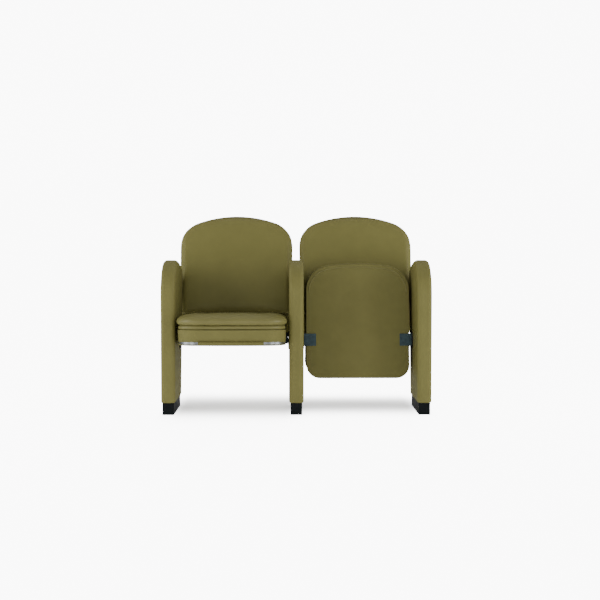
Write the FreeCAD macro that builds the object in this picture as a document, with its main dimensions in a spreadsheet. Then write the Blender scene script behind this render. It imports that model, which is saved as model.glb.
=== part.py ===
"""Tip up auditorium seats: two places of a row on three shared standards.

Millimetres. X runs along the row, Y from front to back, Z up. The origin is on the floor under the
middle standard, midway between its two anchor holes. The left seat is down and the right seat is up.
"""

import FreeCAD, Part
import math
import os

import Sketcher

V = FreeCAD.Vector
ROW_AXIS = V(1, 0, 0)

document = FreeCAD.newDocument("TipUpAuditoriumSeat")
sheet = document.addObject("Spreadsheet::Sheet", "Sizes")

DRIVING_SIZES = (
    ("seat_pitch", 552, "centre to centre of two standards"),
    ("arm_height", 664, "top of the arm above the floor"),
    ("standard_width", 62, "over both side panels"),
    ("panel_thickness", 19, "side panel"),
    ("panel_roll", 17, "rolled edge of a side panel"),
    ("front_reach", 155, "front of the standard ahead of the origin"),
    ("arm_front_radius", 155, "round front of the arm"),
    ("arm_top_radius", 600, "crown of the arm"),
    ("rear_corner_radius", 45, "rear end of the arm"),
    ("rear_foot_reach", 155, "rear edge behind the origin at the plinth"),
    ("rear_rake", 9.5, "lean of the rear edge, degrees"),
    ("band_inset", 0.5, "edge band behind the edge of the side panels"),
    ("band_thickness", 12, "edge band"),
    ("plinth_height", 51, "plinth"),
    ("plinth_width", 50, "plinth"),
    ("plinth_length", 302, "plinth"),
    ("plinth_wall", 4, "plinth"),
    ("plinth_corner", 6, "upright corners of the plinth"),
    ("foot_width", 38, "foot plate"),
    ("foot_length", 288, "foot plate"),
    ("foot_thickness", 6, "foot plate"),
    ("anchor_spacing", 220, "anchor holes of one foot plate"),
    ("anchor_hole", 11, "anchor hole"),
    ("column_front", 32, "front of the column behind the origin"),
    ("column_depth", 76, "column"),
    ("tube_wall", 3, "column"),
    ("rail_thickness", 5, "bar under the arm"),
    ("column_lap", 2, "the column is let into the bar under the arm"),
    ("rail_rear", 175, "rear end of the bar behind the origin"),
    ("pivot_back", 70, "pivot behind the origin"),
    ("pivot_height", 305, "pivot above the floor"),
    ("pivot_boss", 52, "boss round the two pivot pins"),
    ("pin_diameter", 16, "pivot pin"),
    ("running_gap", 0.05, "on the radius, between a pin and its bore"),
    ("plate_diameter", 80, "pivot plate"),
    ("plate_thickness", 5, "pivot plate"),
    ("stop_radius", 26, "stop peg from the pivot"),
    ("peg_diameter", 8, "stop peg"),
    ("slot_width", 9.2, "stop slot"),
    ("buffer_angle", 9, "rubber buffer in the end of the stop slot, degrees"),
    ("stop_gap_angle", 0.7, "play between the peg and a buffer, degrees"),
    ("seat_slope", 3, "the lowered seat rises to the front, degrees"),
    ("tip_angle", 95, "from down to up, degrees"),
    ("side_gap", 0.3, "between a hinge shoe and its pivot plate"),
    ("underside_clear", 15, "underside panel to a side panel of the standard"),
    ("panel_rear", 172, "underside panel behind the pivot"),
    ("panel_front", 338.5, "underside panel ahead of the pivot"),
    ("panel_front_corner", 104, "underside panel"),
    ("panel_rear_corner", 60, "underside panel"),
    ("front_bow_radius", 900, "bow of the front of the cushion; all fronts of the seat share its centre"),
    ("lip_half", 138, "half length of the front lip of the underside panel"),
    ("panel_drop", 13, "underside below the pivot"),
    ("underside_thickness", 4, "underside panel"),
    ("lip_height", 14, "front lip of the underside panel"),
    ("strap_height", 10, "steel strap frame"),
    ("strap_width", 14, "steel strap frame"),
    ("strap_front", 330, "strap frame ahead of the pivot"),
    ("strap_rear", 110, "strap frame behind the pivot"),
    ("strap_corner", 96, "front corners of the strap frame"),
    ("tray_top", 52, "top of the tray above the pivot"),
    ("tray_clear", 14, "top of the tray to a side panel of the standard"),
    ("tray_front", 354, "top of the tray ahead of the pivot"),
    ("tray_rear", 160, "tray behind the pivot"),
    ("tray_corner", 108, "front corners at the top of the tray"),
    ("tray_rear_corner", 62, "rear corners of the tray"),
    ("tray_wall", 12, "tray"),
    ("roll_height", 20, "roll between the tray and the cushion"),
    ("roll_proud", 4, "the roll stands out from the tray"),
    ("cushion_top", 119, "crown of the cushion above the pivot"),
    ("cushion_clear", 6.5, "cushion to a side panel of the standard"),
    ("cushion_front", 362, "cushion ahead of the pivot"),
    ("cushion_rear", 150, "cushion behind the pivot"),
    ("cushion_corner", 116, "front corners of the cushion"),
    ("cushion_rear_corner", 56, "rear corners of the cushion"),
    ("crown_corner", 40, "smallest corner of the crown of the cushion"),
    ("pad_roll", 34, "rolled sides of the back pad, seen from above"),
    ("soft_gap", 0.3, "between a soft piece and its neighbour"),
    ("shoe_depth", 54, "hinge shoe, front to back"),
    ("shoe_height", 50, "hinge shoe"),
    ("lug_width", 43, "lug of the hinge shoe under the seat"),
    ("lug_thickness", 3, "lug of the hinge shoe"),
    ("bush_wall", 3, "nylon bush"),
    ("screw_diameter", 5, "shoe screw"),
    ("screw_spacing", 32, "two screws of a shoe"),
    ("screw_inset", 29, "shoe screws from the edge of the underside"),
    ("screw_head", 9, "shoe screw"),
    ("screw_head_height", 2, "shoe screw"),
    ("peg_clear", 0.5, "between the end of the stop peg and the foot of its slot"),
    ("weld_lap", 1, "joined solids overlap"),
    ("bush_clear", 0.04, "bush in its shoe, on the diameter"),
    ("back_front", 255, "foot of the back shell behind the origin"),
    ("back_bottom", 300, "lower edge of the back above the floor"),
    ("lower_bend_height", 390, "where the back starts to lean"),
    ("lower_bend_radius", 570, "back"),
    ("lower_lean", 10, "lean at the loins, degrees"),
    ("upper_bend_height", 640, "where the back leans further"),
    ("upper_bend_radius", 860, "back"),
    ("upper_lean", 18, "lean at the shoulders, degrees"),
    ("back_top", 864, "top of the back above the floor"),
    ("back_clear", 33, "between two backs of the row"),
    ("back_taper", 4, "the lower edge of the back is narrower on each side"),
    ("shoulder_height", 724, "where the sides start to round"),
    ("shoulder_radius", 115, "shoulders of the back"),
    ("back_corner", 30, "lower corners of the back"),
    ("shell_inset", 6, "shell inside the edge of the pad"),
    ("shell_thickness", 12, "back shell"),
    ("rear_panel_thickness", 14, "rear panel of the back"),
    ("pad_bottom", 406, "lower edge of the back pad"),
    ("pad_thickness", 41, "back pad"),
    ("pad_side", 20, "side of the back pad"),
    ("bracket_thickness", 3, "back bracket"),
    ("bracket_clear", 4, "back bracket to the rear edge of the standard"),
    ("bracket_foot", 452, "lower end of the back bracket"),
    ("bracket_head", 574, "upper end of the back bracket"),
    ("bracket_reach", 66, "flange of the back bracket across the shell"),
    ("arm_width", 10, "rear arm of the frame"),
    ("arm_clear", 1, "rear arm in its slot in the edge band"),
    ("arm_bar", 30, "height of a rear arm"),
    ("lower_arm_height", 476, "lower rear arm"),
    ("upper_arm_height", 548, "upper rear arm"),
    ("arm_end", 272, "rear end of both rear arms behind the origin"),
    ("bolt_diameter", 8, "back bolt"),
    ("bolt_head", 14, "back bolt"),
    ("bolt_head_height", 5, "back bolt"),
)


class Dim:
    """A size that knows its value and the sheet expression that gives it."""

    def __init__(self, value, text):
        self.value = float(value)
        self.text = text

    def _with(self, other, sign, value):
        return Dim(value, f"({self.text} {sign} {as_dim(other).text})")

    def __add__(self, other):
        return self._with(other, "+", self.value + as_dim(other).value)

    def __radd__(self, other):
        return as_dim(other) + self

    def __sub__(self, other):
        return self._with(other, "-", self.value - as_dim(other).value)

    def __rsub__(self, other):
        return as_dim(other) - self

    def __mul__(self, other):
        return self._with(other, "*", self.value * as_dim(other).value)

    def __rmul__(self, other):
        return as_dim(other) * self

    def __truediv__(self, other):
        return self._with(other, "/", self.value / as_dim(other).value)

    def __neg__(self):
        return Dim(-self.value, f"(-1 * {self.text})")


def as_dim(number):
    """Turns a plain number into a size; a size stays as it is."""
    return number if isinstance(number, Dim) else Dim(number, f"{number:g}")


def sine(angle):
    return Dim(math.sin(math.radians(angle.value)), f"sin({angle.text})")


def cosine(angle):
    return Dim(math.cos(math.radians(angle.value)), f"cos({angle.text})")


def root(square):
    return Dim(math.sqrt(square.value), f"sqrt({square.text})")


class Sizes:
    """The rows of the sheet as attributes."""

    def __init__(self):
        self.row = 0

    def add(self, alias, content, value, note):
        self.row += 1
        sheet.set(f"A{self.row}", alias)
        sheet.set(f"B{self.row}", content)
        sheet.setAlias(f"B{self.row}", alias)
        sheet.set(f"C{self.row}", note)
        setattr(self, alias, Dim(value, f"Sizes.{alias}"))

    def derive(self, alias, dim, note):
        """Keeps a worked-out size in the sheet as a formula."""
        self.add(alias, "=" + dim.text.replace("Sizes.", ""), dim.value, note)
        return getattr(self, alias)


size = Sizes()
for alias, value, note in DRIVING_SIZES:
    size.add(alias, str(value), value, note)

standard_half = size.derive("standard_half", size.standard_width / 2, "half a standard")
panel_inner = size.derive("panel_inner", standard_half - size.panel_thickness, "inner face of a side panel")
place_centre = size.derive("place_centre", size.seat_pitch / 2, "centre of a place from the origin")
place_half = size.derive("place_half", place_centre - standard_half, "half the room between two standards")
size.derive("panel_half", place_half - size.underside_clear, "half width of the underside panel")
size.derive("tray_half", place_half - size.tray_clear, "half width at the top of the tray")
size.derive("cushion_half", place_half - size.cushion_clear, "half width of the cushion")
size.derive("back_half", place_centre - size.back_clear / 2, "half width at the shoulders of the back")
size.derive("back_half_low", size.back_half - size.back_taper, "half width at the lower edge of the back")
plate_face = size.derive("plate_face", standard_half + size.plate_thickness, "face of a pivot plate")
shoe_outer = size.derive("shoe_outer", place_centre - plate_face - size.side_gap, "outer face of a shoe")
arm_peak = size.derive(
    "arm_peak", size.arm_front_radius - size.front_reach, "crown of the arm behind the origin"
)
panel_low = size.derive("panel_low", -size.panel_drop, "underside, from the pivot")
tray_floor = size.derive(
    "tray_floor", panel_low + size.underside_thickness, "under the tray, from the pivot"
)
strap_top = size.derive(
    "strap_top", tray_floor + size.strap_height, "top of the strap frame, from the pivot"
)
roll_top = size.derive("roll_top", size.tray_top + size.roll_height, "top of the roll, from the pivot")

made = {}


def new_body(label):
    body = document.addObject("PartDesign::Body", "Body")
    body.Label = label
    made[label] = body
    return body


def new_sketch(body, role, shift=None):
    """A sketch on one of the body's own planes, moved along the plane's normal."""
    sketch = body.newObject("Sketcher::SketchObject", "Sketch")
    plane = next(item for item in body.Origin.OriginFeatures if item.Role == role)
    sketch.AttachmentSupport = [(plane, "")]
    sketch.MapMode = "FlatFace"
    if shift is not None:
        bind(sketch, "AttachmentOffset.Base.z", shift)
    return sketch


def bind(item, name, dim):
    item.setExpression(name, as_dim(dim).text)


def point(pair):
    return V(as_dim(pair[0]).value, as_dim(pair[1]).value, 0)


def pin_point(sketch, geometry, position, pair):
    for kind, dim in (("DistanceX", pair[0]), ("DistanceY", pair[1])):
        dim = as_dim(dim)
        index = sketch.addConstraint(Sketcher.Constraint(kind, -1, 1, geometry, position, dim.value))
        if "Sizes" in dim.text:
            bind(sketch, f"Constraints[{index}]", dim)


def end_near(sketch, geometry, place):
    """Which end of a line or an arc lies at a place."""
    gaps = [(sketch.getPoint(geometry, end) - place).Length for end in (1, 2)]
    return 1 if gaps[0] <= gaps[1] else 2


def arc_middle(start, end, centre, radius):
    towards = (start + end) * 0.5 - centre
    return centre + towards.normalize() * radius


def draw(sketch, steps, closed=True):
    """Draws an outline. A step is a corner, or (corner, centre, radius) of the arc that reaches it."""
    corners = [step[0] if len(step) == 3 else step for step in steps]
    added = []
    for index in range(0 if closed else 1, len(steps)):
        step = steps[index]
        start, end = point(corners[index - 1]), point(corners[index])
        if len(step) == 3:
            middle = arc_middle(start, end, point(step[1]), as_dim(step[2]).value)
            geometry = sketch.addGeometry(Part.Arc(start, middle, end), False)
            bend = sketch.addConstraint(Sketcher.Constraint("Radius", geometry, as_dim(step[2]).value))
            bind(sketch, f"Constraints[{bend}]", step[2])
        else:
            geometry = sketch.addGeometry(Part.LineSegment(start, end), False)
        added.append((geometry, start, end, corners[index]))
    for number, (geometry, start, end, corner) in enumerate(added):
        pin_point(sketch, geometry, end_near(sketch, geometry, end), corner)
        if number + 1 < len(added) or closed:
            following = added[(number + 1) % len(added)][0]
            ends = end_near(sketch, geometry, end), end_near(sketch, following, end)
            sketch.addConstraint(Sketcher.Constraint("Coincident", geometry, ends[0], following, ends[1]))
    if not closed:
        first = added[0]
        pin_point(sketch, first[0], end_near(sketch, first[0], first[1]), corners[0])
    return sketch


def draw_box(sketch, left, right, low, high):
    return draw(sketch, [(left, low), (right, low), (right, high), (left, high)])


def draw_circle(sketch, across, up, diameter):
    radius = as_dim(diameter) / 2
    geometry = sketch.addGeometry(Part.Circle(point((across, up)), V(0, 0, 1), radius.value), False)
    pin_point(sketch, geometry, 3, (across, up))
    index = sketch.addConstraint(Sketcher.Constraint("Radius", geometry, radius.value))
    bind(sketch, f"Constraints[{index}]", radius)
    return sketch


def feature(body, kind, sketch, length=None, reverse=False):
    item = body.newObject(f"PartDesign::{kind}", kind)
    item.Profile = sketch
    if length is not None:
        bind(item, "Length", length)
        item.Reversed = reverse
    return item


def pad(body, sketch, length):
    return feature(body, "Pad", sketch, length)


def cut_along(body, sketch, length):
    """Cuts the way a pad would go, along the normal of the sketch."""
    return feature(body, "Pocket", sketch, length, True)


def cut_against(body, sketch, length):
    return feature(body, "Pocket", sketch, length)


def chosen_edges(shape, wanted):
    return [f"Edge{number}" for number, edge in enumerate(shape.Edges, 1) if wanted(edge)]


def fillet(body, wanted, radius):
    """Rounds the edges of the body's tip that a test picks."""
    document.recompute()
    base = body.Tip
    item = body.newObject("PartDesign::Fillet", "Fillet")
    item.Base = (base, chosen_edges(base.Shape, wanted))
    bind(item, "Radius", radius)
    return item


def runs_along(edge, axis):
    """True for a straight edge along an axis."""
    if edge.Curve.TypeId != "Part::GeomLine":
        return False
    return abs(abs(edge.Curve.Direction.dot(axis)) - 1) < 1e-6


def on_plane(edge, axis, distance):
    ends = [vertex.Point for vertex in edge.Vertexes]
    middle = edge.valueAt((edge.FirstParameter + edge.LastParameter) / 2)
    return all(abs(place.dot(axis) - distance) < 1e-4 for place in ends + [middle])


def place_on_row(item, across):
    bind(item, "Placement.Base.x", across)


def rear_edge(height, inset=0):
    """The raked rear edge of a standard at a height."""
    return (
        size.rear_foot_reach
        + (height - size.plinth_height) * sine(size.rear_rake) / cosine(size.rear_rake)
        - as_dim(inset) / cosine(size.rear_rake)
    )


top_centre_height = size.derive(
    "top_centre_height", size.arm_height - size.arm_top_radius, "centre of the crown of the arm"
)
corner_reach = size.derive(
    "corner_reach", size.arm_top_radius - size.rear_corner_radius, "between the centres of crown and corner"
)
corner_across = size.derive(
    "corner_across",
    size.rear_foot_reach - size.rear_corner_radius * cosine(size.rear_rake) - arm_peak,
    "start of the line of corner centres, from the crown",
)
corner_rise = size.derive(
    "corner_rise",
    size.plinth_height + size.rear_corner_radius * sine(size.rear_rake) - top_centre_height,
    "start of the line of corner centres, above the centre of the crown",
)
corner_lead = size.derive(
    "corner_lead",
    corner_across * sine(size.rear_rake) + corner_rise * cosine(size.rear_rake),
    "that start along the rake",
)
corner_slide = size.derive(
    "corner_slide",
    root(
        corner_lead * corner_lead
        - corner_across * corner_across
        - corner_rise * corner_rise
        + corner_reach * corner_reach
    )
    - corner_lead,
    "from that start to the centre of the rear corner",
)
corner_back = size.derive(
    "corner_back",
    arm_peak + corner_across + corner_slide * sine(size.rear_rake),
    "centre of the rear corner behind the origin",
)
corner_height = size.derive(
    "corner_height",
    top_centre_height + corner_rise + corner_slide * cosine(size.rear_rake),
    "centre of the rear corner above the floor",
)


def standard_outline(inset, backwards=False):
    """Side outline of a standard, drawn in by an inset, from the front foot to the rear foot."""
    inset = as_dim(inset)
    front = inset - size.front_reach
    shoulder = size.arm_height - size.arm_front_radius
    crown_radius = size.arm_top_radius - inset
    corner_radius = size.rear_corner_radius - inset
    crown_centre = (arm_peak, top_centre_height)
    corner_centre = (corner_back, corner_height)
    share = crown_radius / corner_reach
    crown_end = (
        arm_peak + (corner_back - arm_peak) * share,
        top_centre_height + (corner_height - top_centre_height) * share,
    )
    corner_end = (
        corner_back + corner_radius * cosine(size.rear_rake),
        corner_height - corner_radius * sine(size.rear_rake),
    )
    front_foot = (front, size.plinth_height)
    front_top = (front, shoulder)
    peak = (arm_peak, size.arm_height - inset)
    rear_foot = (rear_edge(size.plinth_height, inset), size.plinth_height)
    front_centre = (arm_peak, shoulder)
    front_radius = size.arm_front_radius - inset
    if backwards:
        return [
            rear_foot,
            corner_end,
            (crown_end, corner_centre, corner_radius),
            (peak, crown_centre, crown_radius),
            (front_top, front_centre, front_radius),
            front_foot,
        ]
    return [
        front_foot,
        front_top,
        (peak, front_centre, front_radius),
        (crown_end, crown_centre, crown_radius),
        (corner_end, corner_centre, corner_radius),
        rear_foot,
    ]


def make_frame(label, across):
    """The welded frame inside a standard: foot plate, column, boss, arm rail and rear arms."""
    body = new_body(label)
    foot = new_sketch(body, "XY_Plane")
    draw_box(foot, -size.foot_width / 2, size.foot_width / 2, -size.foot_length / 2, size.foot_length / 2)
    for side in (-1, 1):
        draw_circle(foot, 0, side * size.anchor_spacing / 2, size.anchor_hole)
    pad(body, foot, size.foot_thickness)

    rear = size.column_front + size.column_depth
    rail_radius = size.arm_top_radius - size.band_inset - size.band_thickness
    rail_under = rail_radius - size.rail_thickness
    column_top = top_centre_height + root(rail_under * rail_under - rear * rear) + size.column_lap
    column = new_sketch(body, "XY_Plane", size.foot_thickness)
    half = panel_inner
    draw_box(column, -half, half, size.column_front, rear)
    wall = size.tube_wall
    draw_box(column, wall - half, half - wall, size.column_front + wall, rear - wall)
    pad(body, column, column_top - size.foot_thickness)

    rail = new_sketch(body, "YZ_Plane", -half)
    centre = (arm_peak, top_centre_height)

    def on_arc(radius, along):
        return (along, top_centre_height + root(radius * radius - (along - arm_peak) * (along - arm_peak)))

    draw(rail, [
        (on_arc(rail_under, arm_peak), centre, rail_under),
        on_arc(rail_radius, arm_peak),
        (on_arc(rail_radius, size.rail_rear), centre, rail_radius),
        on_arc(rail_under, size.rail_rear),
    ])
    pad(body, rail, panel_inner * 2)

    boss = new_sketch(body, "YZ_Plane", -panel_inner)
    draw_circle(boss, size.pivot_back, size.pivot_height, size.pivot_boss)
    pad(body, boss, panel_inner * 2)

    arms = new_sketch(body, "YZ_Plane", -size.arm_width / 2)
    for height in (size.lower_arm_height, size.upper_arm_height):
        draw_box(arms, rear - wall, size.arm_end, height - size.arm_bar / 2, height + size.arm_bar / 2)
    pad(body, arms, size.arm_width)

    bores = new_sketch(body, "YZ_Plane", -panel_inner)
    draw_circle(bores, size.pivot_back, size.pivot_height, size.pin_diameter + size.running_gap * 2)
    for height in (size.lower_arm_height, size.upper_arm_height):
        draw_circle(bores, bolt_back(height), height, size.bolt_diameter + size.running_gap * 2)
    cut_along(body, bores, panel_inner * 2)
    place_on_row(body, across)


def bolt_back(height):
    """The back bolts sit midway between the rear edge of the standard and the end of the rear arm."""
    return (rear_edge(height) + size.arm_end) / 2


def make_plinth(label, across):
    body = new_body(label)
    outline = new_sketch(body, "XY_Plane")
    half, long_half, wall = size.plinth_width / 2, size.plinth_length / 2, size.plinth_wall
    draw_box(outline, -half, half, -long_half, long_half)
    pad(body, outline, size.plinth_height)
    fillet(body, lambda edge: runs_along(edge, V(0, 0, 1)), size.plinth_corner)
    hollow = new_sketch(body, "XY_Plane")
    draw_box(hollow, wall - half, half - wall, wall - long_half, long_half - wall)
    cut_along(body, hollow, size.plinth_height)
    place_on_row(body, across)


def make_edge_band(label, across):
    """The band between the side panels, open at the foot and slotted for the rear arms."""
    body = new_body(label)
    outline = new_sketch(body, "YZ_Plane", -panel_inner)
    inner_inset = size.band_inset + size.band_thickness
    draw(outline, standard_outline(size.band_inset) + standard_outline(inner_inset, backwards=True))
    pad(body, outline, panel_inner * 2)
    slots = new_sketch(body, "YZ_Plane", -size.arm_width / 2 - size.arm_clear)
    for height in (size.lower_arm_height, size.upper_arm_height):
        low = height - size.arm_bar / 2 - size.arm_clear
        high = height + size.arm_bar / 2 + size.arm_clear
        draw_box(slots, rear_edge(low, inner_inset * 2), rear_edge(high), low, high)
    cut_along(body, slots, size.arm_width + size.arm_clear * 2)
    place_on_row(body, across)


def make_side_panel(label, across, side, with_pivot):
    """A leather covered side panel with a rolled outer edge; side is -1 or 1 along the row."""
    body = new_body(label)
    inner = panel_inner if side > 0 else -standard_half
    outline = new_sketch(body, "YZ_Plane", inner)
    draw(outline, standard_outline(0))
    if with_pivot:
        hole = size.pin_diameter + size.running_gap * 2
        draw_circle(outline, size.pivot_back, size.pivot_height, hole)
    pad(body, outline, size.panel_thickness)
    outer = side * standard_half.value
    foot = size.plinth_height.value

    def is_rolled(edge):
        if not on_plane(edge, ROW_AXIS, outer) or on_plane(edge, V(0, 0, 1), foot):
            return False
        return not edge.isClosed()

    fillet(body, is_rolled, size.panel_roll)
    place_on_row(body, across)


def slot_corner(radius, angle):
    """A point of the stop slot; the angle runs from straight up towards the rear."""
    return (
        size.pivot_back + radius * sine(angle),
        size.pivot_height + radius * cosine(angle),
    )


def draw_ring_piece(sketch, start, end, width):
    """Part of a ring about the pivot, on the path of the stop peg, in steps under a half circle."""
    inner, outer = size.stop_radius - width / 2, size.stop_radius + width / 2
    centre = (size.pivot_back, size.pivot_height)
    middle = (start + end) / 2
    draw(sketch, [
        slot_corner(inner, start),
        slot_corner(outer, start),
        (slot_corner(outer, middle), centre, outer),
        (slot_corner(outer, end), centre, outer),
        slot_corner(inner, end),
        (slot_corner(inner, middle), centre, inner),
        (slot_corner(inner, start), centre, inner),
    ][1:])


peg_half_angle = size.derive(
    "peg_half_angle",
    size.peg_diameter / 2 / size.stop_radius * (180 / math.pi) + size.stop_gap_angle,
    "half the peg and its play, degrees",
)
slot_start = size.derive("slot_start", size.seat_slope - peg_half_angle - size.buffer_angle, "degrees")
slot_end = size.derive(
    "slot_end", size.seat_slope + size.tip_angle + peg_half_angle + size.buffer_angle, "degrees"
)


def make_pivot_plate(label, across, side):
    """The plate on the side panel, with the curved slot that stops the seat at both ends."""
    body = new_body(label)
    near = standard_half if side > 0 else -plate_face
    outline = new_sketch(body, "YZ_Plane", near)
    draw_circle(outline, size.pivot_back, size.pivot_height, size.plate_diameter)
    draw_circle(outline, size.pivot_back, size.pivot_height, size.pin_diameter + size.running_gap * 2)
    draw_ring_piece(outline, slot_start, slot_end, size.slot_width)
    pad(body, outline, size.plate_thickness)
    place_on_row(body, across)


def make_stop_buffers(label, across, side):
    """Two rubber buffers, one in each end of the stop slot."""
    body = new_body(label)
    near = standard_half if side > 0 else -plate_face
    outline = new_sketch(body, "YZ_Plane", near)
    draw_ring_piece(outline, slot_start, slot_start + size.buffer_angle, size.slot_width)
    draw_ring_piece(outline, slot_end - size.buffer_angle, slot_end, size.slot_width)
    body.AllowCompound = True
    pad(body, outline, size.plate_thickness)
    place_on_row(body, across)


def make_pivot_pin(label, across, side):
    """A plain pin from the middle of the boss to the inner face of the hinge shoe."""
    body = new_body(label)
    reach = place_centre - size.panel_half - size.side_gap * 2
    start = as_dim(1)
    outline = new_sketch(body, "YZ_Plane", start if side > 0 else -reach)
    draw_circle(outline, size.pivot_back, size.pivot_height, size.pin_diameter)
    pad(body, outline, reach - start)
    place_on_row(body, across)


def tip(item, across, raised):
    """Puts a piece of a seat, drawn about its pivot, in its place."""
    bind(item, "Placement.Base.x", across)
    bind(item, "Placement.Base.y", size.pivot_back)
    bind(item, "Placement.Base.z", size.pivot_height)
    item.Placement = FreeCAD.Placement(item.Placement.Base, FreeCAD.Rotation(V(-1, 0, 0), 1))
    bind(item, "Placement.Rotation.Angle", size.seat_slope + (size.tip_angle if raised else 0))


def front_edge(half, front, corner, backwards=False):
    """The bowed front of a seat piece and its corners, from -X to X, or back again."""
    half, front, corner = as_dim(half), as_dim(front), as_dim(corner)
    bow_centre = size.front_bow_radius - size.cushion_front
    bow_radius = bow_centre + front
    inner, reach = half - corner, bow_radius - corner
    corner_back = bow_centre - root(reach * reach - inner * inner)
    share = bow_radius / reach
    touch_across = inner * share
    touch_back = bow_centre - (bow_centre - corner_back) * share
    left, right = (-touch_across, touch_back), (touch_across, touch_back)
    if backwards:
        return [
            (half, corner_back),
            (right, (inner, corner_back), corner),
            (left, (0, bow_centre), bow_radius),
            ((-half, corner_back), (-inner, corner_back), corner),
        ]
    return [
        (-half, corner_back),
        (left, (-inner, corner_back), corner),
        (right, (0, bow_centre), bow_radius),
        ((half, corner_back), (inner, corner_back), corner),
    ]


def plan_outline(half, rear, front, rear_corner, front_corner):
    """Plan of a seat piece about the pivot; the front is towards -Y and bowed."""
    half, rear, rear_corner = as_dim(half), as_dim(rear), as_dim(rear_corner)
    return front_edge(half, front, front_corner) + [
        (half, rear - rear_corner),
        ((half - rear_corner, rear), (half - rear_corner, rear - rear_corner), rear_corner),
        (rear_corner - half, rear),
        ((-half, rear - rear_corner), (rear_corner - half, rear - rear_corner), rear_corner),
    ]


def shoe_screw_places():
    across = size.panel_half - size.screw_inset
    return [(x * across, y * size.screw_spacing / 2) for x in (-1, 1) for y in (-1, 1)]


def make_underside(label, across, raised):
    """The panel under the seat, with a bowed lip that hides the middle of the strap frame."""
    body = new_body(label)
    hole = size.screw_diameter + size.running_gap * 2

    base = new_sketch(body, "XY_Plane", panel_low)
    draw(base, plan_outline(
        size.panel_half,
        size.panel_rear,
        size.panel_front,
        size.panel_rear_corner,
        size.panel_front_corner,
    ))
    for x, y in shoe_screw_places():
        draw_circle(base, x, y, hole)
    pad(body, base, size.underside_thickness)
    lip = new_sketch(body, "XY_Plane", panel_low)
    bow_centre = size.front_bow_radius - size.cushion_front
    outer_radius = bow_centre + size.panel_front
    inner_radius = bow_centre + size.strap_front + size.soft_gap
    half = size.lip_half
    outer_end = bow_centre - root(outer_radius * outer_radius - half * half)
    inner_end = bow_centre - root(inner_radius * inner_radius - half * half)
    draw(lip, [
        (-half, outer_end),
        ((half, outer_end), (0, bow_centre), outer_radius),
        (half, inner_end),
        ((-half, inner_end), (0, bow_centre), inner_radius),
    ])
    pad(body, lip, size.lip_height)
    tip(body, across, raised)


def make_strap(label, across, raised):
    """The bright steel strap round the sides and the front, under the tray."""
    body = new_body(label)
    outline = new_sketch(body, "XY_Plane", tray_floor)
    outer, wide = size.panel_half, size.strap_width
    inner = outer - wide
    draw(
        outline,
        [(-outer, size.strap_rear)]
        + front_edge(outer, size.strap_front, size.strap_corner)
        + [(outer, size.strap_rear), (inner, size.strap_rear)]
        + front_edge(inner, size.strap_front - wide, size.strap_corner - wide, backwards=True)
        + [(-inner, size.strap_rear)],
    )
    pad(body, outline, size.strap_height)
    tip(body, across, raised)


def make_tray(label, across, raised):
    """The tray: a low block inside the strap frame, flared sides and a hollow for the cushion."""
    body = new_body(label)
    inset = size.strap_width + size.soft_gap
    block = new_sketch(body, "XY_Plane", tray_floor)
    draw(block, plan_outline(
        size.panel_half - inset,
        size.tray_rear,
        size.strap_front - inset,
        size.panel_rear_corner - inset,
        size.strap_corner - inset,
    ))
    pad(body, block, size.strap_height)
    low = new_sketch(body, "XY_Plane", strap_top)
    draw(low, plan_outline(
        size.panel_half, size.tray_rear, size.strap_front, size.tray_rear_corner, size.strap_corner
    ))
    high = new_sketch(body, "XY_Plane", size.tray_top)
    draw(high, plan_outline(
        size.tray_half, size.tray_rear, size.tray_front, size.tray_rear_corner, size.tray_corner
    ))
    flare = feature(body, "AdditiveLoft", low)
    flare.Sections = [high]
    flare.Ruled = True
    wall = size.tray_wall
    hollow = new_sketch(body, "XY_Plane", size.tray_top)
    draw(hollow, plan_outline(
        size.panel_half - wall,
        size.tray_rear - wall,
        size.strap_front - wall,
        size.tray_rear_corner - wall,
        size.strap_corner - wall,
    ))
    cut_against(body, hollow, size.tray_top - strap_top)
    shoe_seats = new_sketch(body, "XY_Plane", tray_floor)
    for side in (-1, 1):
        near, far = side * size.panel_half, side * (size.tray_half + 1)
        room = size.shoe_depth / 2 + size.side_gap
        draw_box(shoe_seats, min(near, far, key=by_value), max(near, far, key=by_value), -room, room)
    for x, y in shoe_screw_places():
        draw_circle(shoe_seats, x, y, size.screw_diameter + size.running_gap * 2)
    cut_along(body, shoe_seats, size.tray_top - tray_floor)
    tip(body, across, raised)


def by_value(dim):
    return dim.value


def make_shoe(label, across, raised, side):
    """A cast hinge shoe: a cheek beside the tray, a lug under it and the stop peg."""
    body = new_body(label)
    half = size.shoe_depth / 2
    low = panel_low - size.lug_thickness
    high = low + size.shoe_height
    crown = size.shoe_depth / 4
    thick = shoe_outer - size.panel_half
    cheek = new_sketch(body, "YZ_Plane", size.panel_half if side > 0 else -shoe_outer)
    draw(cheek, [
        (-half, low),
        (half, low),
        (half, high - crown),
        ((half - crown, high), (half - crown, high - crown), crown),
        (crown - half, high),
        ((-half, high - crown), (crown - half, high - crown), crown),
    ])
    draw_circle(cheek, 0, 0, size.pin_diameter + size.bush_wall * 2)
    pad(body, cheek, thick)
    lug = new_sketch(body, "XY_Plane", low)
    near, far = size.panel_half - size.lug_width, shoe_outer - size.weld_lap
    ends = (near, far) if side > 0 else (-far, -near)
    draw_box(lug, ends[0], ends[1], -half, half)
    for x, y in shoe_screw_places():
        if x.value * side > 0:
            draw_circle(lug, x, y, size.screw_diameter + size.running_gap * 2)
    pad(body, lug, size.lug_thickness)
    peg_length = size.plate_thickness + size.side_gap - size.peg_clear
    peg = new_sketch(body, "YZ_Plane", shoe_outer - size.weld_lap if side > 0 else -shoe_outer - peg_length)
    draw_circle(peg, 0, size.stop_radius, size.peg_diameter)
    pad(body, peg, peg_length + size.weld_lap)
    tip(body, across, raised)


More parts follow.
